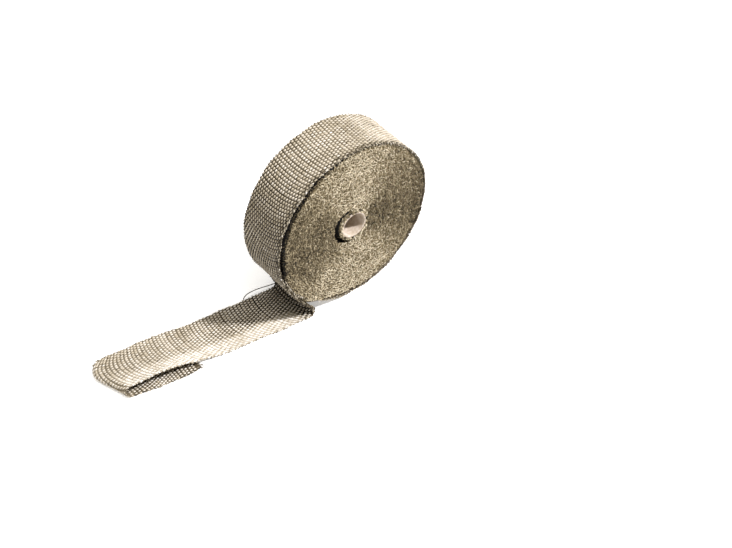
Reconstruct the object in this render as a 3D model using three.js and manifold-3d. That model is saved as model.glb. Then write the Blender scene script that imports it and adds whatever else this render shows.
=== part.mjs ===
// A roll of woven exhaust heat wrap. The strip is wound on a short core tube, and its loose end comes
// down the side of the roll, doubles back in a tight bend, runs out along the floor and ends in a fold.
// X runs away from the loose end, Y along the core and Z up. Millimetres.
import * as THREE from 'three';
import { mergeVertices } from 'three/addons/utils/BufferGeometryUtils.js';
import Module from 'manifold-3d';

// Strip and roll
const STRIP_WIDTH = 50;
const STRIP_THICKNESS = 2;
const ROLL_RADIUS = 82;
const ROLL_SEGMENTS = 48;

// Rings on the ends of the roll, one for every two turns of the strip
const TURNS_PER_RING = 2;
const RING_DEPTH = 1.2;

// Core tube, which stands a little out of both ends of the roll
const CORE_BORE_RADIUS = 11.5;
const CORE_WALL = 1.5;
const CORE_FRONT_PROUD = 1;
const CORE_BACK_PROUD = 1;
const CORE_CLEARANCE = 0.3;

// Last turn, which lifts out of the roll, is fused to the turn below it and hangs slack on the loose side.
// Angles are seen from the front: 0 points along X and 90 degrees straight up.
const FUSE_DEPTH = 0.3;
const LIFT_OUT_LAG = THREE.MathUtils.degToRad(20);
const LIFT_OUT_ANGLE = THREE.MathUtils.degToRad(30);
const SLACK_GAP = 3.5;
const SLACK_START = THREE.MathUtils.degToRad(115);
const SLACK_FULL = THREE.MathUtils.degToRad(165);
const SLACK_EASE = THREE.MathUtils.degToRad(195);
const SLACK_END = THREE.MathUtils.degToRad(225);

// Tight bend where the strip doubles back under the side of the roll
const BEND_DISTANCE = 48;
const BEND_INNER_RADIUS = 4;
const BEND_SKEW = 6;
const BEND_SKEW_LENGTH = 20;

// Tail on the floor, and the fold at its end
const TAIL_REACH = 234.5;
const FOLD_INNER_RADIUS = 2.5;
const FOLD_SKEW = 8;
const FOLD_SKEW_LENGTH = 60;
const LAP_LENGTH = 74.5;
const RISE_LEAD = 37;
const RISE_EASE_LOW = 30;
const RISE_EASE_HIGH = 68;

// How far the strip walks along the core: towards the front at the bend, then back over the tail
const BEND_WALK = 2;
const TAIL_SLOPE = Math.tan(THREE.MathUtils.degToRad(7.1));
const LAP_WALK = 12;

const smooth = (t) => THREE.MathUtils.smoothstep(t, 0, 1);
const clamp01 = (t) => THREE.MathUtils.clamp(t, 0, 1);

const materials = {
  wrap: new THREE.MeshStandardMaterial({ color: 0x9a8f78, roughness: 0.85, metalness: 0 }),
  core: new THREE.MeshStandardMaterial({ color: 0xa8906c, roughness: 0.9, metalness: 0 }),
};

// Turns a three.js geometry into a solid that can be joined to another.
const wasm = await Module();
wasm.setup();

function solid(geometry) {
  const bare = geometry.clone();
  bare.deleteAttribute('normal');
  bare.deleteAttribute('uv');
  const merged = mergeVertices(bare, 1e-4);
  return new wasm.Manifold(new wasm.Mesh({
    numProp: 3,
    vertProperties: new Float32Array(merged.attributes.position.array),
    triVerts: new Uint32Array(merged.index.array),
  }));
}

function geometryOf(manifold) {
  const mesh = manifold.getMesh();
  const geometry = new THREE.BufferGeometry();
  geometry.setAttribute('position', new THREE.BufferAttribute(new Float32Array(mesh.vertProperties), 3));
  geometry.setIndex(new THREE.BufferAttribute(new Uint32Array(mesh.triVerts), 1));
  geometry.computeVertexNormals();
  return geometry;
}

// The turns under the last one: a turned solid with its bore, and ringed ends. On the loose side it
// falls in from the last turn, most at its rim and not at all at its bore.
function woundTurns(boreRadius, outerRadius) {
  const half = STRIP_WIDTH / 2;
  const rings = Math.round((outerRadius - boreRadius) / (TURNS_PER_RING * STRIP_THICKNESS));
  const pitch = (outerRadius - boreRadius) / rings;
  const front = [];
  for (let i = 0; i < rings; i += 1) {
    front.push(new THREE.Vector2(boreRadius + i * pitch, half - RING_DEPTH));
    front.push(new THREE.Vector2(boreRadius + (i + 0.5) * pitch, half));
  }
  front.push(new THREE.Vector2(outerRadius, half - RING_DEPTH));
  const back = front.map((p) => new THREE.Vector2(p.x, -p.y));
  const profile = [...back, ...front.reverse(), back[0].clone()];
  const geometry = new THREE.LatheGeometry(profile, ROLL_SEGMENTS);
  const position = geometry.attributes.position;
  for (let i = 0; i < position.count; i += 1) {
    const x = position.getX(i);
    const z = position.getZ(i);
    const radius = Math.hypot(x, z);
    const turn = Math.atan2(z, x);
    const angle = turn < 0 ? turn + 2 * Math.PI : turn;
    const slack = smooth((angle - SLACK_START) / (SLACK_FULL - SLACK_START))
      * (1 - smooth((angle - SLACK_EASE) / (SLACK_END - SLACK_EASE)));
    const share = (radius - boreRadius) / (outerRadius - boreRadius);
    const scale = 1 - (SLACK_GAP * slack * share) / radius;
    position.setXYZ(i, x * scale, position.getY(i), z * scale);
  }
  geometry.translate(0, 0, ROLL_RADIUS);
  return geometry;
}

// The centreline of the last turn and the loose end, seen from the front, as stations along the strip.
// Each station holds its point, the strip's normal there and the length of strip up to it.
function centreline() {
  const stations = [];
  const turnRadius = ROLL_RADIUS - STRIP_THICKNESS / 2;
  const bendRadius = BEND_INNER_RADIUS + STRIP_THICKNESS / 2;
  const foldRadius = FOLD_INNER_RADIUS + STRIP_THICKNESS / 2;
  const floor = STRIP_THICKNESS / 2;
  const roll = new THREE.Vector2(0, ROLL_RADIUS);
  const bend = new THREE.Vector2(-(BEND_DISTANCE + bendRadius + STRIP_THICKNESS / 2), floor + bendRadius);
  const fold = new THREE.Vector2(-(TAIL_REACH - foldRadius - STRIP_THICKNESS / 2), floor + foldRadius);
  const cutEnd = new THREE.Vector2(-(TAIL_REACH - LAP_LENGTH), floor);
  const riseStart = new THREE.Vector2(cutEnd.x + RISE_LEAD, floor);
  const riseEnd = new THREE.Vector2(fold.x, fold.y + foldRadius);

  function add(point, tangent) {
    const last = stations.at(-1);
    if (last && last.point.distanceTo(point) < 1e-6) return;
    const length = last ? last.length + last.point.distanceTo(point) : 0;
    stations.push({ point, normal: new THREE.Vector2(-tangent.y, tangent.x), length });
  }

  function follow(curve, steps) {
    for (let i = 0; i <= steps; i += 1) add(curve.getPoint(i / steps), curve.getTangent(i / steps));
    return stations.at(-1).length;
  }

  // The straight run down from the roll touches both the last turn and the bend, which turn opposite ways.
  const toBend = bend.clone().sub(roll);
  const leave = toBend.angle() - Math.acos((turnRadius + bendRadius) / toBend.length());
  const start = leave - 2 * Math.PI + LIFT_OUT_LAG;
  const turnSteps = ROLL_SEGMENTS;
  for (let i = 0; i <= turnSteps; i += 1) {
    const angle = start + (i / turnSteps) * (leave - start);
    const below = 1 - clamp01((angle - start) / LIFT_OUT_ANGLE);
    const radius = turnRadius - STRIP_THICKNESS * below;
    const out = new THREE.Vector2(Math.cos(angle), Math.sin(angle));
    add(roll.clone().addScaledVector(out, radius), new THREE.Vector2(-out.y, out.x));
  }
  const top = stations.at(-1).length - turnRadius * (leave - Math.PI / 2);
  const bendMiddle = stations.at(-1).length + Math.sqrt(toBend.lengthSq() - (turnRadius + bendRadius) ** 2);
  const marks = { top, bendMiddle };
  marks.bendEnd = follow(
    new THREE.EllipseCurve(bend.x, bend.y, bendRadius, bendRadius, leave - Math.PI, -Math.PI / 2, true), 10);
  follow(new THREE.LineCurve(new THREE.Vector2(bend.x, floor), riseStart), 6);
  marks.foldStart = follow(new THREE.CubicBezierCurve(
    riseStart,
    new THREE.Vector2(riseStart.x - RISE_EASE_LOW, riseStart.y),
    new THREE.Vector2(riseEnd.x + RISE_EASE_HIGH, riseEnd.y),
    riseEnd,
  ), 12);
  marks.foldEnd = follow(
    new THREE.EllipseCurve(fold.x, fold.y, foldRadius, foldRadius, Math.PI / 2, 1.5 * Math.PI, false), 10);
  marks.end = follow(new THREE.LineCurve(new THREE.Vector2(fold.x, floor), cutEnd), 8);
  return { stations, marks };
}

// How far the strip has moved along Y at a length along its centreline.
function walk(length, marks) {
  const toFront = smooth((length - marks.top) / (marks.bendMiddle - marks.top));
  const alongTail = THREE.MathUtils.clamp(length, marks.bendEnd, marks.foldStart) - marks.bendEnd;
  const left = 1 - clamp01((length - marks.foldStart) / (marks.end - marks.foldStart));
  return -BEND_WALK * toFront + TAIL_SLOPE * alongTail - LAP_WALK * (1 - left * left);
}

// How much farther the strip's back edge reaches than its front one at a length along the centreline.
// The bend and the fold both run askew, and the skew fades to nothing on either side of them.
function skew(length, marks) {
  const fade = (start, end, over) => smooth((length - start) / over + 1) * (1 - smooth((length - end) / over));
  return BEND_SKEW * fade(marks.bendMiddle, marks.bendEnd, BEND_SKEW_LENGTH)
    + FOLD_SKEW * fade(marks.foldStart, marks.foldEnd, FOLD_SKEW_LENGTH);
}

// The last turn and the loose end: the strip's edge view, extruded over its width and moved along Y
// from station to station.
function looseStrip() {
  const { stations, marks } = centreline();
  const side = (sign) => stations.map(({ point, normal, length }) => ({
    point: point.clone().addScaledVector(normal, sign * STRIP_THICKNESS / 2),
    shift: walk(length, marks),
    skew: skew(length, marks),
  }));
  const outline = [...side(1), ...side(-1).reverse()];
  const shape = new THREE.Shape(outline.map(({ point }) => point));
  const geometry = new THREE.ExtrudeGeometry(shape, { depth: STRIP_WIDTH, bevelEnabled: false, steps: 1 });
  geometry.rotateX(Math.PI / 2);
  geometry.translate(0, STRIP_WIDTH / 2, 0);
  const position = geometry.attributes.position;
  const here = new THREE.Vector2();
  for (let i = 0; i < position.count; i += 1) {
    here.set(position.getX(i), position.getZ(i));
    const own = outline.reduce((best, corner) => (
      corner.point.distanceToSquared(here) < best.point.distanceToSquared(here) ? corner : best));
    const across = position.getY(i) / STRIP_WIDTH;
    position.setXYZ(i, here.x - own.skew * across, position.getY(i) + own.shift, here.y);
  }
  return geometry;
}

function heatWrap() {
  const boreRadius = CORE_BORE_RADIUS + CORE_WALL + CORE_CLEARANCE;
  const turns = solid(woundTurns(boreRadius, ROLL_RADIUS - STRIP_THICKNESS + FUSE_DEPTH));
  const mesh = new THREE.Mesh(geometryOf(turns.add(solid(looseStrip()))), materials.wrap);
  mesh.name = 'heat_wrap';
  return mesh;
}

function coreTube() {
  const front = -STRIP_WIDTH / 2 - CORE_FRONT_PROUD;
  const back = STRIP_WIDTH / 2 + CORE_BACK_PROUD;
  const outerRadius = CORE_BORE_RADIUS + CORE_WALL;
  const profile = [
    new THREE.Vector2(CORE_BORE_RADIUS, front),
    new THREE.Vector2(outerRadius, front),
    new THREE.Vector2(outerRadius, back),
    new THREE.Vector2(CORE_BORE_RADIUS, back),
    new THREE.Vector2(CORE_BORE_RADIUS, front),
  ];
  const mesh = new THREE.Mesh(new THREE.LatheGeometry(profile, ROLL_SEGMENTS), materials.core);
  mesh.name = 'core_tube';
  mesh.position.z = ROLL_RADIUS;
  return mesh;
}

// The whole part stands on Z = 0, centred over the origin.
const part = new THREE.Group();
part.add(heatWrap(), coreTube());
const box = new THREE.Box3().setFromObject(part, true);
const centre = box.getCenter(new THREE.Vector3());
part.position.set(-centre.x, -centre.y, -box.min.z);

export default part;
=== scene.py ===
import math
import bpy
import numpy as np
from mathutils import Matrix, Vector


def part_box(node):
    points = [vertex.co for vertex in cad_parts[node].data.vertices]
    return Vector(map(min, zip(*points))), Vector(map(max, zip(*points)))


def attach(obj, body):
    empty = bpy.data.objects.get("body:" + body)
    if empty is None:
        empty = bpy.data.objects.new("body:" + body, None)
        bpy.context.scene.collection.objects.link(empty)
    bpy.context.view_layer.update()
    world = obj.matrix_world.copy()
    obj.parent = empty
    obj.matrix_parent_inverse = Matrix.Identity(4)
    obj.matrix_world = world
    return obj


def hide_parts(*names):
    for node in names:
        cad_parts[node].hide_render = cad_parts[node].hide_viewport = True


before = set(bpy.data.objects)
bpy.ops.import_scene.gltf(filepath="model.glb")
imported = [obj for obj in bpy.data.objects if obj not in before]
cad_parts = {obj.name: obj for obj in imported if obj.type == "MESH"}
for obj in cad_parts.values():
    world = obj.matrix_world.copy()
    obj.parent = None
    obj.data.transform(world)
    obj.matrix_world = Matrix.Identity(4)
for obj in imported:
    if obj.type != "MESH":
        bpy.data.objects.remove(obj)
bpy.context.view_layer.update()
scene = bpy.context.scene


# Camera: it looks down on the roll from the front left, over the loose end, from a little more than
# a metre away, so that the rim, the front end of the roll and the whole loose end are seen together.
camera_data = bpy.data.cameras.new("camera")
camera_data.sensor_fit = "HORIZONTAL"
camera_data.sensor_width = 36.0
camera_data.lens = 76.45
camera_data.clip_start = 0.02
camera = bpy.data.objects.new("camera", camera_data)
camera.location = (-0.5285, -0.8093, 0.9996)
camera_aim = Vector((0.10135, -0.0222, -0.0020))
camera.rotation_euler = (camera_aim - camera.location).to_track_quat("-Z", "Y").to_euler()
scene.collection.objects.link(camera)
scene.camera = camera


# Core tube: a short tube of plain brown board that the strip is wound on. It stands a little out of
# both ends of the roll, and the cut lips of the board are rounded with wear.
MM = 0.001
core_low, core_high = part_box("core_tube")
axis_x = (core_low[0] + core_high[0]) / 2 / MM
axis_z = (core_low[2] + core_high[2]) / 2 / MM
core_front, core_back = core_low[1] / MM, core_high[1] / MM
core_outer = (core_high[2] - core_low[2]) / 2 / MM
core_wall, core_lip, core_steps = 1.5, 0.5, 96
core_bore = core_outer - core_wall


def shader_node(material, kind, **inputs):
    """Adds one shader node to a material and sets its plain values by socket name."""
    node = material.node_tree.nodes.new(kind)
    for name, value in inputs.items():
        node.inputs[name.replace("_", " ")].default_value = value
    return node


def join(material, output, target):
    """Links one node's output to another node's input."""
    material.node_tree.links.new(output, target)


def colour_steps(material, factor, stops):
    """A ramp that turns a number into a colour: stops are pairs of place and colour."""
    ramp = material.node_tree.nodes.new("ShaderNodeValToRGB")
    elements = ramp.color_ramp.elements
    for element, (place, colour) in zip(elements, (stops[0], stops[-1])):
        element.position, element.color = place, (*colour, 1)
    for place, colour in stops[1:-1]:
        elements.new(place).color = (*colour, 1)
    join(material, factor, ramp.inputs["Fac"])
    return ramp.outputs["Color"]


def reckon(material, kind, first, second):
    """A math node: first and second are outputs or plain numbers."""
    node = material.node_tree.nodes.new("ShaderNodeMath")
    node.operation = kind
    for socket, value in zip(node.inputs, (first, second)):
        if isinstance(value, (int, float)):
            socket.default_value = value
        else:
            join(material, value, socket)
    return node.outputs[0]


def make_piece(name, points, faces, finish, uv=None, tone=None):
    """One mesh from points in millimetres and four-cornered faces, which are turned over together
    where the volume that they enclose comes out negative. Nothing reaches below the floor, and the
    piece rides on the object's one body."""
    points = np.asarray(points, dtype=float).reshape(-1, 3)
    points[:, 2] = np.maximum(points[:, 2], 0.0)
    a, b, c, d = (points[faces[:, i]] for i in range(4))
    volume = (np.einsum("ij,ij->i", a, np.cross(b, c)) + np.einsum("ij,ij->i", a, np.cross(c, d))).sum()
    if volume < 0:
        faces = faces[:, ::-1]
        uv = None if uv is None else uv[:, ::-1]
    mesh = bpy.data.meshes.new(name)
    mesh.from_pydata((points * MM).tolist(), [], faces.tolist())
    if uv is not None:
        mesh.uv_layers.new(name="yarn").data.foreach_set("uv", uv.ravel())
    if tone is not None:
        mesh.attributes.new("tone", "FLOAT", "POINT").data.foreach_set("value", np.ravel(tone))
    mesh.shade_smooth()
    mesh.materials.append(finish)
    piece = bpy.data.objects.new(name, mesh)
    scene.collection.objects.link(piece)
    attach(piece, "root")
    return piece


def about_axis(radius, angle, y):
    """Points round the roll's axis: x = axis + radius cos a, and z = axis + radius sin a."""
    return np.stack(np.broadcast_arrays(
        axis_x + radius * np.cos(angle), y, axis_z + radius * np.sin(angle)), -1)


def closed_grid(points):
    """The faces of a grid of points that closes on itself in both directions."""
    index = np.arange(points.shape[0] * points.shape[1]).reshape(points.shape[:2])
    on, up = np.roll(index, -1, 0), np.roll(index, -1, 1)
    return np.stack([index, on, np.roll(on, -1, 1), up], -1).reshape(-1, 4)


board = bpy.data.materials.new("wound board")
board.use_nodes = True
board_shader = board.node_tree.nodes["Principled BSDF"]
board_place = shader_node(board, "ShaderNodeTexCoord").outputs["Object"]
board_grain = shader_node(board, "ShaderNodeTexNoise", Scale=260.0, Detail=6.0, Roughness=0.65)
join(board, board_place, board_grain.inputs["Vector"])
board_colour = colour_steps(board, board_grain.outputs["Fac"], [
    (0.25, (0.27, 0.21, 0.145)), (0.5, (0.39, 0.32, 0.25)), (0.78, (0.55, 0.48, 0.405))])
join(board, board_colour, board_shader.inputs["Base Color"])
board_shader.inputs["Roughness"].default_value = 0.92
board_bump = shader_node(board, "ShaderNodeBump", Strength=0.5, Distance=0.0003)
join(board, board_grain.outputs["Fac"], board_bump.inputs["Height"])
join(board, board_bump.outputs["Normal"], board_shader.inputs["Normal"])

lip = np.linspace(0, np.pi, 6)
wall_middle, wall_half = (core_bore + core_outer) / 2, (core_outer - core_bore) / 2
tube_radius = np.concatenate([wall_middle - wall_half * np.cos(lip), wall_middle + wall_half * np.cos(lip)])
tube_y = np.concatenate([core_front + core_lip - core_lip * np.sin(lip),
                         core_back - core_lip + core_lip * np.sin(lip)])
core_angle = np.linspace(0, 2 * np.pi, core_steps, endpoint=False)[:, None]
core_points = about_axis(tube_radius, core_angle, tube_y)
core_piece = make_piece("core_board", core_points, closed_grid(core_points), board)
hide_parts("core_tube")


# Wound turns: ten metres of strip lie edge to edge on both ends of the roll. On the loose side the
# turns have fallen in from the last one, and by the core the first turns have slipped back a little.
strip_width, strip_thickness, roll_radius = 50.0, 2.0, 82.0
half_thick, half_wide = strip_thickness / 2, strip_width / 2
roll_middle = (core_front + core_back) / 2
core_clearance = 0.3
bore_radius = core_outer + core_clearance
wound_radius = roll_radius - strip_thickness
leave_angle = math.radians(211.9)
slack_gap, slack_start, slack_full, slack_ease, slack_end = 5.2, 66, 140, 180, 212
sag_depth, sag_angle, sag_half = 3.2, 229, 11
crescent_inner, crescent_outer, crescent_swell = 16.0, 18.2, 2.4
crescent_depth, crescent_angle, crescent_half = 9.0, 180, 68
end_depth, wave_share, rim_drop, slack_drop, groove_depth = 0.7, 0.7, 0.7, 1.4, 0.9


def eased(t):
    """0 below 0, 1 above 1, and a smooth 3t² - 2t³ between."""
    t = np.clip(t, 0, 1)
    return t * t * (3 - 2 * t)


def slack(angle):
    """How far the turns have fallen in at an angle round the roll, from 0 to 1: it rises between 66
    and 140 degrees and goes back to 0 between 180 and 212."""
    turned = np.degrees(angle) % 360
    closing = 1 - eased((turned - slack_ease) / (slack_end - slack_ease))
    return eased((turned - slack_start) / (slack_full - slack_start)) * closing


def fallen(radius, angle):
    """The radius after the turns have fallen in, nothing at the bore and 5.2 mm at the rim. Below the
    place where the last turn leaves, the loose turns sag out into the wedge beside it."""
    share = (radius - bore_radius) / (wound_radius - bore_radius)
    sag = np.exp(-((np.degrees(angle) % 360 - sag_angle) / sag_half) ** 2)
    return radius - slack_gap * slack(angle) * share + sag_depth * sag * share ** 3


def end_sink(radius, angle):
    """How far the end of the roll lies below its full width, in mm: slow waves from turn to turn, a
    crescent beside the core, on the loose end's side, where the first turns slipped back, and a drop
    over the last turns by the rim, deeper where they are slack."""
    waves = 0.35 * np.sin(angle * 2 + radius * 0.21) + 0.3 * np.sin(angle * 5 - radius * 0.37 + 1.3)
    waves += 0.35 * np.sin(radius * 0.55 + 2.0 * np.sin(angle + 0.7))
    round_core = np.exp(-((np.degrees(angle) % 360 - crescent_angle) / crescent_half) ** 4)
    outer_wall = 1 - eased((radius - crescent_outer - crescent_swell * round_core) / 0.7)
    crescent = eased((radius - crescent_inner) / 0.4) * outer_wall
    rim = eased((radius - wound_radius + 3) / 2.5)
    by_rim = (rim_drop + slack_drop * slack(angle)) * rim
    return end_depth + waves * wave_share + crescent_depth * crescent * round_core + by_rim


def turn_phase(radius, angle):
    """Which turn a place on the end belongs to: whole numbers are the middles of the strip's turns,
    and the spiral grows by one strip thickness with each turn."""
    return (wound_radius - half_thick - radius) / strip_thickness - (leave_angle - angle) / (2 * np.pi)


end_rings, end_steps = 101, 144
ring_radius = np.linspace(bore_radius, wound_radius, end_rings)[None, :]
ring_angle = np.linspace(0, 2 * np.pi, end_steps, endpoint=False)[:, None]
ring_groove = 0.5 - 0.5 * np.cos(2 * np.pi * turn_phase(ring_radius, ring_angle))
ring_place = fallen(ring_radius, ring_angle)


def end_face(side):
    """One end of the roll: y = middle + side * (half width - sink - groove), over radius and angle."""
    below = end_sink(ring_radius, ring_angle) + groove_depth * ring_groove
    return about_axis(ring_place, ring_angle, roll_middle + side * (half_wide - below))


turns_points = np.concatenate([end_face(-1), end_face(1)[:, ::-1]], 1)


def yarn_finish(name, dark, middle, pale, twist):
    """Dry mineral yarn: its colour runs from dark to pale with the tone attribute and with cloudy patches.
    Where the tone is below 0 it goes nearly black, painted shade for deep gaps. The tone attribute carries
    each yarn's own tone together with the painted light and shade that each piece lays on. Fine fibres
    twist round it: twist is how many fibre ridges cross a millimetre."""
    yarn = bpy.data.materials.new(name)
    yarn.use_nodes = True
    shader = yarn.node_tree.nodes["Principled BSDF"]
    place = shader_node(yarn, "ShaderNodeTexCoord").outputs["Object"]
    cloud = shader_node(yarn, "ShaderNodeTexNoise", Scale=38.0, Detail=3.0, Roughness=0.6)
    join(yarn, place, cloud.inputs["Vector"])
    speck = shader_node(yarn, "ShaderNodeTexNoise", Scale=900.0, Detail=2.0, Roughness=0.7)
    join(yarn, place, speck.inputs["Vector"])
    tone = shader_node(yarn, "ShaderNodeAttribute")
    tone.attribute_name = "tone"
    mixed = reckon(yarn, "MULTIPLY", tone.outputs["Fac"], 0.55)
    mixed = reckon(yarn, "ADD", mixed, reckon(yarn, "MULTIPLY", cloud.outputs["Fac"], 0.28))
    mixed = reckon(yarn, "ADD", mixed, reckon(yarn, "MULTIPLY", speck.outputs["Fac"], 0.22))
    # The nearly black colour is painted shade for deep gaps.
    gap_shade_colour = tuple(0.3 * part for part in dark)
    colour = colour_steps(yarn, mixed, [(0.08, gap_shade_colour), (0.22, dark), (0.5, middle), (0.85, pale)])
    join(yarn, colour, shader.inputs["Base Color"])
    shader.inputs["Roughness"].default_value = 0.55
    shader.inputs["Specular IOR Level"].default_value = 0.15
    if twist:
        along = shader_node(yarn, "ShaderNodeUVMap")
        along.uv_map = "yarn"
        parts = shader_node(yarn, "ShaderNodeSeparateXYZ")
        join(yarn, along.outputs["UV"], parts.inputs[0])
        twisted = reckon(yarn, "MULTIPLY", parts.outputs["X"], twist)
        turned = reckon(yarn, "ADD", twisted, parts.outputs["Y"])
        ridge = reckon(yarn, "SINE", reckon(yarn, "MULTIPLY", turned, 4 * math.pi), 0.0)
        height = reckon(yarn, "ADD", reckon(yarn, "MULTIPLY", ridge, 0.3), speck.outputs["Fac"])
    else:
        height = speck.outputs["Fac"]
    bump = shader_node(yarn, "ShaderNodeBump", Strength=0.55, Distance=0.0002)
    join(yarn, height, bump.inputs["Height"])
    join(yarn, bump.outputs["Normal"], shader.inputs["Normal"])
    return yarn


# The end of the roll under its loops is coloured near black: partly the dark edges of the packed turns,
# partly painted shade for the deep gaps between the loops.
end_finish = yarn_finish(
    "packed turns", dark=(0.006, 0.004, 0.002), middle=(0.10, 0.076, 0.038), pale=(0.22, 0.175, 0.10),
    twist=0)
# The walls and floor of the crescent, and the last rings where they are slack, are painted darker as
# painted shade in these hollows.
ring_step, rings_in_gap = 0.7, 4
ring_sink = np.maximum(end_sink(ring_radius, ring_angle), end_sink(ring_radius + ring_step, ring_angle))
turns_tone_and_shade = 0.5 - 0.45 * np.clip(ring_sink - 1.2, 0, 2)
turns_tone_and_shade[:, -rings_in_gap:] = 0.4 - 0.8 * np.clip(4 * slack(ring_angle), 0, 1)
turns_tone_and_shade = np.concatenate([turns_tone_and_shade, turns_tone_and_shade[:, ::-1]], 1)
turns_piece = make_piece("wound_turns", turns_points, closed_grid(turns_points), end_finish,
                         tone=turns_tone_and_shade)
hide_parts("heat_wrap")


# Loops on the ends of the roll: at each crosswise pick the yarn turns back round the strip's edge, so
# every turn shows a row of small loops, packed side by side and bent every way by the winding.
pick_pitch = 3.35
ends_of_tube = {4: [[0, 1, 2, 3]], 6: [[0, 1, 2, 3], [0, 3, 4, 5]]}


def tubes(centre, across, up, half_width, half_height, along, sides=6):
    """Closed tubes of four or six sides, one for each row of centre: a point is centre + half_width
    cos a across + half_height sin a up. Returns points, faces, and the length and the share of the way
    round at each face's corners."""
    count, stations = centre.shape[:2]
    round_angle = 2 * np.pi * (np.arange(sides) + 0.5) / sides
    wide = np.broadcast_to(half_width, (count, stations))[..., None, None]
    high = np.broadcast_to(half_height, (count, stations))[..., None, None]
    points = centre[:, :, None] + wide * np.cos(round_angle)[:, None] * across[:, :, None]
    points = points + high * np.sin(round_angle)[:, None] * up[:, :, None]
    index = np.arange(count * stations * sides).reshape(count, stations, sides)
    here, there = index[:, :-1], index[:, 1:]
    walls = np.stack([here, np.roll(here, -1, 2), np.roll(there, -1, 2), there], -1)
    first = index[:, 0][:, ends_of_tube[sides]][..., ::-1]
    last = index[:, -1][:, ends_of_tube[sides]]
    faces = np.concatenate([walls.reshape(-1, 4), first.reshape(-1, 4), last.reshape(-1, 4)])
    share = np.arange(sides) / sides
    length = np.broadcast_to(along, (count, stations))
    near, far = length[:, :-1, None], length[:, 1:, None]
    corners = [(near, share), (near, share + 1 / sides), (far, share + 1 / sides), (far, share)]
    wall_uv = np.stack([np.stack(np.broadcast_arrays(u, v), -1) for u, v in corners], -2).reshape(-1, 4, 2)
    cap_uv = np.zeros((2 * count * len(ends_of_tube[sides]), 4, 2))
    return points, faces, np.concatenate([wall_uv, cap_uv])


def half_loops(foot, along, out, side, reach, length, thick, sides=4):
    """Small loops: each is the upper half of an oval ring, foot + along * length/2 * cos t
    + out * reach * sin t, with a round section that thins towards its buried feet."""
    t = np.linspace(0.06, 0.94, 4) * np.pi
    cos, sin = np.cos(t)[None, :, None], np.sin(t)[None, :, None]
    half, rise = (length / 2)[:, None, None], reach[:, None, None]
    centre = foot[:, None] + along[:, None] * half * cos + out[:, None] * rise * sin
    tangent = -along[:, None] * half * sin + out[:, None] * rise * cos
    tangent /= np.linalg.norm(tangent, axis=-1, keepdims=True)
    sideways = np.broadcast_to(side[:, None], tangent.shape)
    up = np.cross(tangent, sideways)
    section = thick[:, None] * (0.72 + 0.28 * np.sin(t))[None, :]
    return tubes(centre, sideways, up, section, section * 0.9, t[None, :] * length[:, None] / 2, sides)


def spokes(angle):
    """The directions away from the roll's axis and round it, at each angle."""
    outward = np.stack([np.cos(angle), 0 * angle, np.sin(angle)], -1)
    forward = np.stack([-np.sin(angle), 0 * angle, np.cos(angle)], -1)
    return outward, forward


loop_finish = yarn_finish(
    "end loops", dark=(0.065, 0.048, 0.023), middle=(0.25, 0.20, 0.118), pale=(0.57, 0.49, 0.35), twist=1.1)
loop_foot_depth = 0.55
spiral_start = bore_radius + 0.8
spiral_end = wound_radius - half_thick
spiral_length = math.pi * (spiral_end ** 2 - spiral_start ** 2) / strip_thickness
loop_count = int(spiral_length / pick_pitch * 2)


def end_loops(name, side, seed):
    """Loops along the spiral on one end: the radius at a length s is sqrt(r0² + thickness s / pi), and the
    angle follows the radius, one turn for each strip thickness. Each loop leans at random. They are painted
    lighter at the top and bottom, a painted sheen of their fibres. They are painted darker in the crescent
    and beside the slack last turn, as painted shade. Broad blotches of their own tone lie over this."""
    chance = np.random.default_rng(seed)
    s = (np.arange(loop_count) + chance.uniform(-0.3, 0.3, loop_count)) * pick_pitch / 2
    radius = np.sqrt(spiral_start ** 2 + strip_thickness * s / np.pi)
    angle = leave_angle - (spiral_end - radius) / strip_thickness * 2 * np.pi
    sink = end_sink(radius, angle)
    # light holds painted light and shade: a painted sheen at the top and bottom, and painted shade in the
    # crescent and beside the slack last turn. The last term adds blotches of the loops' own tone.
    light = 0.02 + 0.32 * np.cos(2 * (angle - math.radians(86))) - 0.35 * np.clip(sink - 2, 0, 2)
    light -= 0.55 * slack(angle) * eased((radius - wound_radius + 3.4) / 1.6)
    light += 0.07 * np.sin(radius * 0.16 + 3 * angle) * np.sin(radius * 0.07 - 2 * angle + 1.0)
    radius = fallen(radius, angle) + chance.normal(0, 0.35, loop_count)
    outward, forward = spokes(angle)
    lean = chance.normal(0, 0.95, loop_count)[:, None]
    along = forward * np.cos(lean) + outward * np.sin(lean)
    across = outward * np.cos(lean) - forward * np.sin(lean)
    axis = np.array([0.0, float(side), 0.0])
    tip = chance.normal(0, 0.75, loop_count)[:, None]
    out = axis * np.cos(tip) + across * np.sin(tip)
    sideways = across * np.cos(tip) - axis * np.sin(tip)
    foot = about_axis(radius, angle, roll_middle + side * (half_wide - sink - loop_foot_depth))
    reach = chance.uniform(0.7, 1.4, loop_count)
    length = chance.uniform(2.0, 3.8, loop_count)
    thick = chance.uniform(0.40, 0.60, loop_count)
    points, faces, uv = half_loops(foot, along, out, sideways, reach, length, thick)
    tone = np.clip(chance.normal(0.40, 0.21, loop_count) + light, -0.3, 1)
    tone = np.repeat(tone, points.shape[1] * points.shape[2])
    return make_piece(name, points, faces, loop_finish, uv, tone)


for name, side, seed in (("front_end_loops", -1, 11), ("back_end_loops", 1, 12)):
    end_loops(name, side, seed)


# Collar: the first turn clings to the core tube and stands as far out as the tube does, so its edge
# loops make a beaded ring round the tube's lip, with the crescent outside it.
loops_per_ring, ring_spacing = 26, 1.6


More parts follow.
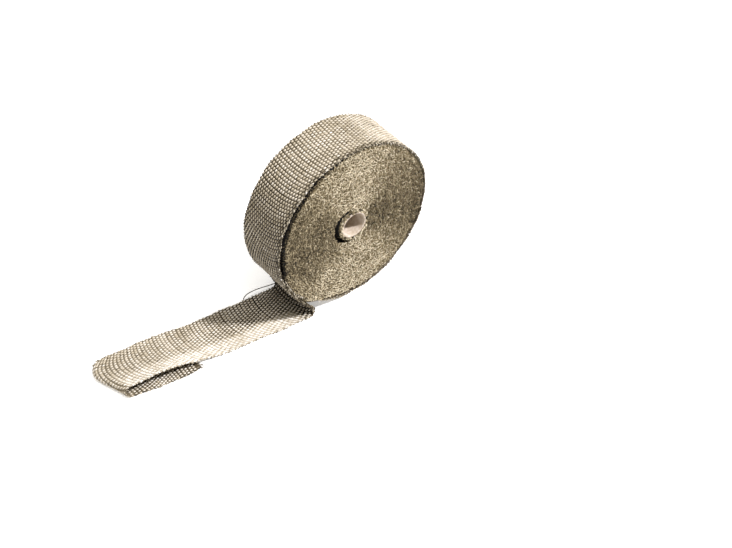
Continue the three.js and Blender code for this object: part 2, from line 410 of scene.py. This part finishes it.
def collar(name, lip_y, side, seed):
    """Two rows of loops round the tube: ring i has radius bore + 0.3 + 1.6 i, and each loop starts on
    that circle, a millimetre under the tube's lip, and reaches out along the axis."""
    chance = np.random.default_rng(seed)
    ring = np.repeat([0, 1], loops_per_ring)
    count = len(ring)
    place = np.tile(np.arange(loops_per_ring), 2) + 0.5 * ring + chance.uniform(-0.2, 0.2, count)
    angle = place / loops_per_ring * 2 * np.pi
    radius = bore_radius + 0.3 + ring_spacing * ring + chance.normal(0, 0.15, count)
    outward, forward = spokes(angle)
    lean = chance.normal(0, 0.3, count)[:, None]
    along = forward * np.cos(lean) + outward * np.sin(lean)
    across = outward * np.cos(lean) - forward * np.sin(lean)
    out = np.broadcast_to(np.array([0.0, float(side), 0.0]), along.shape)
    foot = about_axis(radius, angle, lip_y - side * (0.9 + 0.5 * ring))
    reach = chance.uniform(0.9, 1.7, count)
    length = chance.uniform(1.7, 2.4, count)
    thick = chance.uniform(0.6, 0.8, count)
    points, faces, uv = half_loops(foot, along, out, across, reach, length, thick, 6)
    tone = np.repeat(np.clip(chance.normal(0.5, 0.42, count), -0.3, 1), points.shape[1] * points.shape[2])
    return make_piece(name, points, faces, loop_finish, uv, tone)


for name, lip_y, side, seed in (
        ("front_collar_loops", core_front, -1, 13), ("back_collar_loops", core_back, 1, 14)):
    collar(name, lip_y, side, seed)


# Strip: the last turn of the roll and the loose end are one run of cloth. It comes down the side of the
# roll, doubles back in a tight bend, runs out along the floor and ends in a fold. This piece is a
# near-black sheet inside the cloth, painted shade that shows in the gaps between its yarns.
bend_distance, bend_radius = 48.0, 5.0
fold_reach, fold_radius = 234.5, 3.5
lap_length, rise_lead, rise_low, rise_high = 74.5, 37.0, 30.0, 68.0
turn_shown, lift_before, lift_over, tucked_before = (math.radians(part) for part in (375, 340, 30, 300))
tucked_gap = 3.5


def route_stations():
    """The strip's middle line seen from the front, every half millimetre or less: the last turn about
    the roll's axis, a straight run that touches it, an arc, the floor, a rise, the fold and the lap.
    The turn begins one thickness deeper, under its own end, and lifts out from there. Returns x and z
    from the roll's foot, the length so far, and the lengths where the parts begin."""
    bend = np.array([-(bend_distance + bend_radius + half_thick), half_thick + bend_radius])
    fold = np.array([-(fold_reach - fold_radius - half_thick), half_thick + fold_radius])
    turn_radius = roll_radius - half_thick
    to_bend = bend - np.array([0.0, roll_radius])
    bend_way = math.atan2(to_bend[1], to_bend[0]) % (2 * math.pi)
    leave = bend_way - math.acos((turn_radius + bend_radius) / np.hypot(*to_bend))
    angle = np.linspace(leave - turn_shown, leave, 1100)
    lag = 1 - np.clip((angle - (leave - lift_before)) / lift_over, 0, 1)
    tucked = tucked_gap * slack(angle) * (angle < leave - tucked_before)
    radius = turn_radius - strip_thickness * lag - tucked
    turn = np.stack([radius * np.cos(angle), roll_radius + radius * np.sin(angle)], -1)
    bend_angle = np.linspace(leave - math.pi, -math.pi / 2, 40)
    around = bend + bend_radius * np.stack([np.cos(bend_angle), np.sin(bend_angle)], -1)
    run = turn[-1] + (around[0] - turn[-1]) * np.linspace(0, 1, 80)[1:-1, None]
    cut_end = np.array([-(fold_reach - lap_length), half_thick])
    rise_start, rise_end = np.array([cut_end[0] + rise_lead, half_thick]), fold + (0, fold_radius)
    floor = around[-1] + (rise_start - around[-1]) * np.linspace(0, 1, 140)[1:-1, None]
    t = np.linspace(0, 1, 240)[:-1, None]
    rise = ((1 - t) ** 3 * rise_start + 3 * (1 - t) ** 2 * t * (rise_start - (rise_low, 0))
            + 3 * (1 - t) * t ** 2 * (rise_end + (rise_high, 0)) + t ** 3 * rise_end)
    fold_angle = np.linspace(math.pi / 2, 1.5 * math.pi, 40)
    over = fold + fold_radius * np.stack([np.cos(fold_angle), np.sin(fold_angle)], -1)
    lap = over[-1] + (cut_end - over[-1]) * np.linspace(0, 1, 160)[1:, None]
    parts = (turn, run, around, floor, rise, over, lap)
    line = np.concatenate(parts)
    length = np.concatenate([[0], np.cumsum(np.hypot(*np.diff(line, axis=0).T))])
    counts = np.cumsum([len(part) for part in parts]) - 1
    marks = dict(zip(("leave", "bend_start", "bend_end", "rise_start", "fold_start", "fold_end", "end"),
                     length[counts]))
    marks["top"] = marks["leave"] - turn_radius * (leave - math.pi / 2)
    return line, length, marks


route, route_length, marks = route_stations()
slope = np.gradient(route, route_length, axis=0)
slope /= np.linalg.norm(slope, axis=1, keepdims=True)
strip_length = marks["end"]
bend_walk, lap_walk, tail_slope = 2.0, 13.8, math.tan(math.radians(7.1))
bend_skew, bend_skew_over, fold_skew, fold_skew_over = 6.0, 20, 12.0, 60
fold_narrowing, corner_drawn, front_gape = 0.10, 9.0, 4.2


def strip_walk(s):
    """How far the strip has moved along Y: 2 mm to the front at the bend, back again at 7.1 degrees
    over the tail, and 13.8 mm to the front under the fold."""
    to_front = eased((s - marks["top"]) / (marks["bend_start"] - marks["top"]))
    tail = np.clip(s, marks["bend_end"], marks["fold_start"]) - marks["bend_end"]
    left = 1 - np.clip((s - marks["fold_start"]) / (marks["end"] - marks["fold_start"]), 0, 1)
    return -bend_walk * to_front + tail_slope * tail - lap_walk * (1 - left * left)


def strip_skew(s):
    """How much farther the back edge reaches than the front one: 6 mm at the bend, 12 mm at the fold."""
    def fade(start, end, over):
        return eased((s - start) / over + 1) * (1 - eased((s - end) / over))
    return (bend_skew * fade(marks["bend_start"], marks["bend_end"], bend_skew_over)
            + fold_skew * fade(marks["fold_start"], marks["fold_end"], fold_skew_over))


def strip_frame(s):
    """The directions along the strip and out of its outer face at a length, as two arrays."""
    tx, tz = np.interp(s, route_length, slope[:, 0]), np.interp(s, route_length, slope[:, 1])
    size = np.hypot(tx, tz)
    tx, tz = tx / size, tz / size
    return np.stack([tx, 0 * tx, tz], -1), np.stack([tz, 0 * tx, -tx], -1)


def strip_place(s, across, height):
    """A point of the strip at length s, across it from -25 at the front to 25 at the back, and height
    out of its outer face: the route's point, plus height along the normal, with the walk along Y,
    slid back by the skew. The strip narrows a little towards the fold, where its back corner is drawn
    in and lies lower. Its front edge gapes 4 mm above the lap, and both edges wander."""
    s, across, height = np.broadcast_arrays(s, across, height)
    along, out = strip_frame(s)
    narrow = 1 - fold_narrowing * eased((s - marks["bend_end"]) / (marks["fold_start"] - marks["bend_end"]))
    ripple = 0.35 * np.sin(s / 9.1 + 0.8 * np.sign(across)) + 0.25 * np.sin(s / 4.3)
    wander = (across / half_wide) * ripple
    near_fold = np.exp(-((s - (marks["fold_start"] + marks["fold_end"]) / 2) / 22) ** 2)
    corner = corner_drawn * near_fold * np.clip((across - 10) / 15, 0, 1.1) ** 2.2
    corner = corner - near_fold * (1.0 + 1.6 * np.exp(-((across - 6) / 14) ** 2))
    gape = np.exp(-((s - marks["fold_start"] + 42) / 24) ** 2) * np.clip((-across - 4) / 21, 0, 1) ** 1.5
    low = 0.28 * np.exp(-((s - marks["fold_start"] - 4) / 26) ** 2) * np.clip((across + 8) / 30, 0, 1)
    x = axis_x + np.interp(s, route_length, route[:, 0]) - strip_skew(s) * across / strip_width + corner
    y = roll_middle + across * narrow + strip_walk(s) + wander
    z = np.interp(s, route_length, route[:, 1])
    z = z - low * np.maximum(z - half_thick, 0) + front_gape * gape
    return np.stack([x + out[..., 0] * height, y, z + out[..., 2] * height], -1)


def pick_lag(s, across):
    """How far a pick lags behind a straight crossing, in mm: a bow that grows with the square of the
    distance across, and in the tail a drag that dies away from the front edge within a few
    millimetres and a lean in step with the distance across, steeper as the strip nears the fold."""
    tail = eased((s - marks["top"]) / 150) * (1 - eased((s - marks["fold_start"]) / 40))
    drag = 3.6 * np.exp(-(across + half_wide) / 7) - 0.075 * across
    turned = eased((s - marks["bend_end"] - 115) / 60) * (1 - eased((s - marks["fold_start"]) / 60))
    return (0.0019 + 0.0063 * tail) * across * across + tail * drag + 0.33 * turned * across


def turn_shade_and_tail_tone(s):
    """Painted shade on the last turn: it is painted darker on its way down from the top of the roll, on the
    side away from the key light: 0 at the top, 0.32 where it leaves the roll, and 0 again over the loose
    end, which is paler by 0.05 in its own tone."""
    down = eased((s - marks["top"]) / (marks["leave"] - marks["top"]))
    on_floor = eased((s - marks["bend_end"]) / 30)
    return 0.32 * down * (1 - eased((s - marks["bend_start"]) / 8)) - 0.05 * on_floor


def painted_lit_front(s, across):
    """Painted light on the loose end: its front half, which the key light reaches beside the roll's shadow,
    is painted paler, and the painted shade of its gaps is left off there: 0 at 4 mm from the middle, 1 at
    15.
    """
    return eased((-across - 4) / 11) * eased((s - marks["bend_end"]) / 12) * (s < marks["fold_start"])


def painted_edge_shade(s, across):
    """Painted shade on the roll: the strip is painted darker along its front edge, beside the shaded gap
    between the last turn and the end of the roll: 0 at 19.5 mm from the middle, 1 at 22.5.
    """
    return eased((-across - 19.5) / 3) * (1 - eased((s - marks["bend_start"]) / 20))


def painted_shade_strength(s, across):
    """How strongly painted shade darkens the cloth's gaps, and painted light brightens the picks' crests,
    where the cloth lies in shade: 1 at the bend, less up the roll and out along the floor, half under the
    fold, and nothing on the loose end's painted lit front half."""
    reach = np.where(s < marks["bend_end"], 130.0, 70.0)
    shaded_part = np.exp(-((s - marks["bend_end"]) / reach) ** 2) + 0.55 * eased((s - marks["fold_end"]) / 10)
    return shaded_part * (1 - painted_lit_front(s, across))


ground_finish = yarn_finish(
    "shaded ground", dark=(0.010, 0.007, 0.003), middle=(0.085, 0.065, 0.036), pale=(0.2, 0.16, 0.1),
    twist=0)
ground_half_width, ground_half_thick = 24.4, 0.15
ground_s = np.linspace(0, strip_length, 420)[:, None]
ground_y = np.linspace(-ground_half_width, ground_half_width, 15)
ground_top = strip_place(ground_s, ground_y[None, :], ground_half_thick)
ground_bottom = strip_place(ground_s, ground_y[None, ::-1], -ground_half_thick)
ground_points = np.concatenate([ground_top, ground_bottom], 1)
ground_index = np.arange(ground_points.shape[0] * ground_points.shape[1]).reshape(ground_points.shape[:2])
ground_round = np.roll(ground_index, -1, 1)
ground_walls = np.stack([ground_index[:-1], ground_round[:-1], ground_round[1:], ground_index[1:]], -1)
ground_ends = []
for row, order in ((ground_index[0], 1), (ground_index[-1], -1)):
    upper, lower = row[:len(ground_y)], row[::-1][:len(ground_y)]
    ground_ends.append(np.stack([upper[:-1], lower[:-1], lower[1:], upper[1:]], -1)[:, ::order])
ground_faces = np.concatenate([ground_walls.reshape(-1, 4)] + ground_ends)
# The ground's tone carries painted shade down the roll, at the bend and under the fold, and painted light
# on the loose end's lit front half.
ground_tone_and_shade = 0.55 - 0.8 * painted_shade_strength(ground_s, ground_y) - 2.0 * turn_shade_and_tail_tone(ground_s)
ground_tone_and_shade = ground_tone_and_shade + 0.3 * painted_lit_front(ground_s, ground_y)
strip_cloth = make_piece("strip_ground", ground_points, ground_faces, ground_finish,
                         tone=np.concatenate([ground_tone_and_shade, ground_tone_and_shade[:, ::-1]], 1))


# Lengthwise yarns: 34 thin yarns run along the strip side by side. Each goes over one crosswise pick
# and under the next, and pinches the picks into rows of beads, half a bead apart from row to row.
yarn_count = 34
yarn_pitch = strip_width / yarn_count
yarn_rise = 0.32
strip_finish = yarn_finish(
    "strip yarns", dark=(0.072, 0.055, 0.030), middle=(0.39, 0.336, 0.25), pale=(0.78, 0.745, 0.70),
    twist=0.9)


def lengthwise_yarns(name, start, end, steps, seed):
    """Yarn j at length s stands 0.32 cos(pi (s / pitch + j)) mm out of the cloth's middle, and is wider
    on its crests, where it presses on the pick below, than where it dives between two picks. Its
    stations lie on the picks, lag and all, with a few to spare past the end, which the clip gathers."""
    chance = np.random.default_rng(seed)
    j = np.arange(yarn_count)[:, None]
    across = (j - (yarn_count - 1) / 2) * yarn_pitch
    first_row = math.floor(start / pick_pitch * steps)
    last_row = math.ceil(end / pick_pitch * steps) + 1 + 3 * steps
    row = np.arange(first_row, last_row) / steps
    row = row[None, :] * pick_pitch
    s = row - pick_lag(row, across)
    s = np.clip(row - pick_lag(s, across), 0.0, strip_length)
    phase = np.pi * (row / pick_pitch + j)
    centre = strip_place(s, across, yarn_rise * np.cos(phase))
    side = np.broadcast_to(np.array([0.0, 1.0, 0.0]), centre.shape)
    up = np.broadcast_to(strip_frame(np.broadcast_to(s, phase.shape))[1], centre.shape)
    crest = np.abs(np.cos(phase))
    beads = chance.normal(0, 0.14, (yarn_count, int(strip_length / pick_pitch) + 3))
    which = np.clip(np.round(row / pick_pitch).astype(int), 0, beads.shape[1] - 1)
    # Painted light and shade in the tone: each yarn is painted lighter on its crests and darker where it
    # dives under a pick. It is painted darker down the roll, in the shaded stretches and along the front
    # edge on the roll, and paler on the loose end's lit front half. The beads' random tone is their own.
    crest_lit_dip_shaded = np.cos(phase) * np.where(s > marks["fold_end"], -1, 1)
    tone = 0.10 + 0.10 * crest_lit_dip_shaded + 0.35 * painted_lit_front(s, across) - turn_shade_and_tail_tone(s) - 0.42 * painted_shade_strength(s, across)
    tone = tone - 0.25 * painted_edge_shade(s, across) + chance.normal(0, 0.04, (yarn_count, 1))
    tone = tone + np.take_along_axis(beads, np.broadcast_to(which, phase.shape), 1) * crest
    points, faces, uv = tubes(centre, side, up, 0.45 + 0.20 * crest, 0.36, s, 4)
    tone = np.repeat(np.clip(tone, -0.3, 1).ravel(), 4)
    return make_piece(name, points, faces, strip_finish, uv, tone)


overlap = 0.5
split = marks["leave"] + 10.0
half_turn = split / 2
first_yarns = lengthwise_yarns("lengthwise_yarns_of_last_turn_1", 0.0, half_turn, 3, 21)
second_yarns = lengthwise_yarns("lengthwise_yarns_of_last_turn_2", half_turn - overlap, split, 3, 23)
tail_yarns = lengthwise_yarns("lengthwise_yarns_of_loose_end", split - overlap, strip_length, 4, 22)


# Crosswise picks: a thick doubled yarn crosses the strip under one lengthwise yarn and over the next.
# The picks lie close together and make the ribs of the cloth, with a dark groove between two, dark with
# real shade and with the painted shade of the ground sheet below.
pick_rise = 0.38
pick_finish = yarn_finish(
    "crosswise picks", dark=(0.068, 0.051, 0.027), middle=(0.39, 0.332, 0.24), pale=(0.80, 0.762, 0.715),
    twist=0.9)


def crosswise_picks(name, first, last, seed):
    """Pick k crosses the strip at length k * pitch less its lag, opposite to the lengthwise yarns. With
    c = -cos(pi (across / yarn pitch + k)) it stands 0.38 (c + (1 - c²) / 3) mm out of the middle, so
    that its crests are broad and its dips short, and it is thinner in the dips."""
    chance = np.random.default_rng(seed)
    k = np.arange(first, last)[:, None]
    across = np.linspace(-half_wide, half_wide, 2 * yarn_count + 1)[None, :]
    s = k * pick_pitch + chance.normal(0, 0.12, k.shape)
    s = np.clip(s - pick_lag(s, across), 0.5, strip_length - 0.5)
    place_in_row = across / yarn_pitch + (yarn_count - 1) / 2
    over = -np.cos(np.pi * (place_in_row + k))
    centre = strip_place(s, across, pick_rise * (over + (1 - over ** 2) / 3))
    along, out = strip_frame(s)
    blunt = np.clip((25.3 - np.abs(across)) / 1.2, 0.35, 1)
    # Painted light and shade in the tone: a pick is painted darker where it dips under a yarn and lighter
    # on its crests, more so in the shaded stretches. It is painted darker down the roll and, with random
    # mottle, along the front edge on the roll, and paler on the loose end's lit front half.
    crest_lit_dip_shaded = over * np.where(s > marks["fold_end"], -1, 1)
    tone = 0.72 * np.clip(0.5 + 0.5 * crest_lit_dip_shaded, 0, 1) ** 0.55 - 0.08 + 0.2 * painted_lit_front(s, across) - turn_shade_and_tail_tone(s)
    tone = tone + (0.46 * crest_lit_dip_shaded - 0.06) * painted_shade_strength(s, across) + chance.normal(0, 0.04, k.shape)
    tone = tone + chance.normal(-0.22, 0.22, over.shape) * painted_edge_shade(s, across)
    tone = np.clip(tone + chance.normal(0, 0.12, over.shape) * np.abs(over), -0.3, 1)
    half_width, half_height = (1.32 + 0.2 * over) * blunt, (0.48 + 0.06 * over) * blunt
    points, faces, uv = tubes(centre, along, out, half_width, half_height, across, 6)
    return make_piece(name, points, faces, pick_finish, uv, np.repeat(tone.ravel(), 6))


pick_split, pick_count = int(split / pick_pitch), int(strip_length / pick_pitch)
roll_picks = crosswise_picks("crosswise_picks_of_last_turn", 1, pick_split, 31)
tail_picks = crosswise_picks("crosswise_picks_of_loose_end", pick_split, pick_count, 32)


# Edge loops: at both edges of the strip each pick turns back in a small loop, which gives the edges a row
# of dashes; the dark of the dashes is partly painted shade on the lower loops.
edge_place = 23.9


def edge_loops(name, side, seed):
    """Two loops for each pick, one over the other, along the strip's edge: they reach out across it
    and together stand about as high as the strip is thick. Near the bend the edge is swollen."""
    chance = np.random.default_rng(seed)
    k = np.repeat(np.arange(1, pick_count), 2)
    count = len(k)
    upper = np.where(np.arange(count) % 2 == 0, 1.0, -1.0)
    edge = np.full(count, edge_place * side)
    s = (k + 0.25 * upper) * pick_pitch
    s = np.clip(s - pick_lag(s, edge), 1.0, strip_length - 1.0)
    swollen = np.exp(-((s - marks["bend_start"] + 8) / 26) ** 2)
    level = upper * (0.42 + 0.35 * swollen)
    foot = strip_place(s, edge, level + chance.normal(0, 0.12, count))
    along, out = strip_frame(s)
    across = np.broadcast_to(np.array([0.0, float(side), 0.0]), along.shape)
    lean = chance.normal(0.35, 0.3, count)[:, None]
    forward = along * np.cos(lean) + out * np.sin(lean)
    upward = out * np.cos(lean) - along * np.sin(lean)
    reach, length = chance.uniform(0.8, 1.7, count), chance.uniform(1.5, 2.3, count)
    thick = chance.uniform(0.36, 0.52, count) * (1 + 0.6 * swollen)
    points, faces, uv = half_loops(foot, forward, across, upward, reach, length, thick, 6)
    # On the loose end the upper loops are painted lighter and the lower ones darker, as painted light and
    # shade. Down the roll, and where the edge swells by the bend, they are painted darker as painted shade.
    tone = chance.normal(0.24, 0.24, count) + 0.30 * upper * (s > marks["bend_end"])
    tone = tone - 0.8 * turn_shade_and_tail_tone(s) - 0.2 * swollen
    tone = np.repeat(np.clip(tone, -0.2, 1), points.shape[1] * points.shape[2])
    return make_piece(name, points, faces, strip_finish, uv, tone)


front_edge = edge_loops("front_edge_loops", -1, 41)
back_edge = edge_loops("back_edge_loops", 1, 42)


# Cut end: the strip was cut with shears under the fold. Nothing binds its yarns there, so they have
# sprung up in small curls along the cut.
tuft_place, tuft_half_width = -22, 2.5


def cut_curls(name, count, seed):
    """Curls along the cut: each is the upper half of an oval ring that starts at the cut edge and leans
    any way along the floor. A tuft near the front is longer."""
    chance = np.random.default_rng(seed)
    across = np.linspace(-24.5, 24.5, count)
    tuft = np.abs(across - tuft_place) < tuft_half_width
    s = strip_length - chance.uniform(0.2, 1.5, count)
    foot = strip_place(s, across, chance.uniform(-0.2, 0.5, count))
    along, out = strip_frame(s)
    back = np.broadcast_to(np.array([0.0, 1.0, 0.0]), along.shape)
    turn = chance.normal(0, 0.6, count)[:, None]
    reach_way = along * np.cos(turn) + back * np.sin(turn)
    wide_way = back * np.cos(turn) - along * np.sin(turn)
    rise = chance.uniform(-0.9, 0.05, count)[:, None]
    reach_way = reach_way * np.cos(rise) - out * np.sin(rise)
    reach_way /= np.linalg.norm(reach_way, axis=-1, keepdims=True)
    side = np.cross(wide_way, reach_way)
    reach = chance.uniform(1.2, 3.2, count) + 2.2 * tuft
    length = chance.uniform(1.6, 3.2, count) + 1.6 * tuft
    thick = chance.uniform(0.32, 0.45, count)
    points, faces, uv = half_loops(foot, wide_way, reach_way, side, reach, length, thick, 6)
    tone = np.repeat(np.clip(chance.normal(0.7, 0.15, count), 0, 1), points.shape[1] * points.shape[2])
    return make_piece(name, points, faces, strip_finish, uv, tone)


cut_end_curls = cut_curls("cut_end_curls", 46, 51)


# Loose yarn: one thin yarn has worked out of the strip's back edge near the roll and springs back to
# it in a low arc behind the loose end.
yarn_way = np.array([
    [-7.0, 18.0, 1.6], [-6.0, 18.3, 3.9], [-3.0, 18.6, 5.2], [2.0, 18.8, 5.4], [8.0, 18.6, 4.9],
    [14.0, 18.0, 4.0], [20.0, 17.2, 3.2], [26.0, 16.4, 2.6], [31.0, 15.6, 2.2]])
loose_radius, loose_length = 0.42, 42
fine = np.linspace(0, len(yarn_way) - 1, 60)
arc = np.stack([np.interp(fine, np.arange(len(yarn_way)), yarn_way[:, i]) for i in range(3)], -1)
arc[1:-1] = (arc[:-2] + arc[1:-1] + arc[2:]) / 3
arc_along = np.gradient(arc, axis=0)
arc_along /= np.linalg.norm(arc_along, axis=1, keepdims=True)
arc_side = np.cross(arc_along, np.array([0.0, 0.0, 1.0]))
arc_side /= np.linalg.norm(arc_side, axis=1, keepdims=True)
arc_up = np.cross(arc_side, arc_along)
arc_points, arc_faces, arc_uv = tubes(
    arc[None], arc_side[None], arc_up[None], loose_radius, loose_radius,
    np.linspace(0, loose_length, len(arc))[None])
loose_yarn = make_piece("loose_yarn", arc_points, arc_faces, pick_finish, arc_uv,
                        np.full(arc_points.size // 3, -0.1))


# Floor and light: a white studio floor, a key light from the front right, a wide and slightly warm
# light overhead, and faint even light of the same warmth all round.
floor_mesh = bpy.data.meshes.new("studio_floor")
floor_mesh.from_pydata([(-6, -6, 0), (6, -6, 0), (6, 6, 0), (-6, 6, 0)], [], [(0, 1, 2, 3)])
floor_paint = bpy.data.materials.new("white floor")
floor_paint.use_nodes = True
floor_shader = floor_paint.node_tree.nodes["Principled BSDF"]
floor_shader.inputs["Base Color"].default_value = (0.9, 0.9, 0.9, 1)
floor_shader.inputs["Roughness"].default_value = 0.9
floor_shader.inputs["Specular IOR Level"].default_value = 0.1
floor_shader.inputs["Emission Color"].default_value = (1, 1, 1, 1)
floor_shader.inputs["Emission Strength"].default_value = 0.38
floor_mesh.materials.append(floor_paint)
studio_floor = bpy.data.objects.new("studio_floor", floor_mesh)
scene.collection.objects.link(studio_floor)

key_data = bpy.data.lights.new("key", "AREA")
key_data.shape = "DISK"
key_data.size = 0.22
key_data.energy = 111.0
key_data.color = (0.98, 0.99, 1.05)
key = bpy.data.objects.new("key", key_data)
key_aim, key_distance = Vector((0.0, 0.0, 0.05)), 2.4
key_direction = Vector((0.407, -0.461, 0.789)).normalized()
key.location = key_aim + key_direction * key_distance
key.rotation_euler = key_direction.to_track_quat("Z", "Y").to_euler()
scene.collection.objects.link(key)

warm_white = (1.0, 0.97, 0.92)
overhead_place = Vector((-0.35, -0.1, 2.0))
over_data = bpy.data.lights.new("overhead", "AREA")
over_data.shape = "DISK"
over_data.size = 1.2
over_data.energy = 24.0
over_data.color = warm_white
overhead = bpy.data.objects.new("overhead", over_data)
overhead.location = overhead_place
overhead.rotation_euler = overhead_place.to_track_quat("Z", "Y").to_euler()
scene.collection.objects.link(overhead)

world = bpy.data.worlds.new("studio")
world.use_nodes = True
sky = world.node_tree.nodes["Background"]
sky.inputs["Color"].default_value = (*warm_white, 1)
sky.inputs["Strength"].default_value = 0.30
scene.world = world
scene.view_settings.view_transform = "Standard"
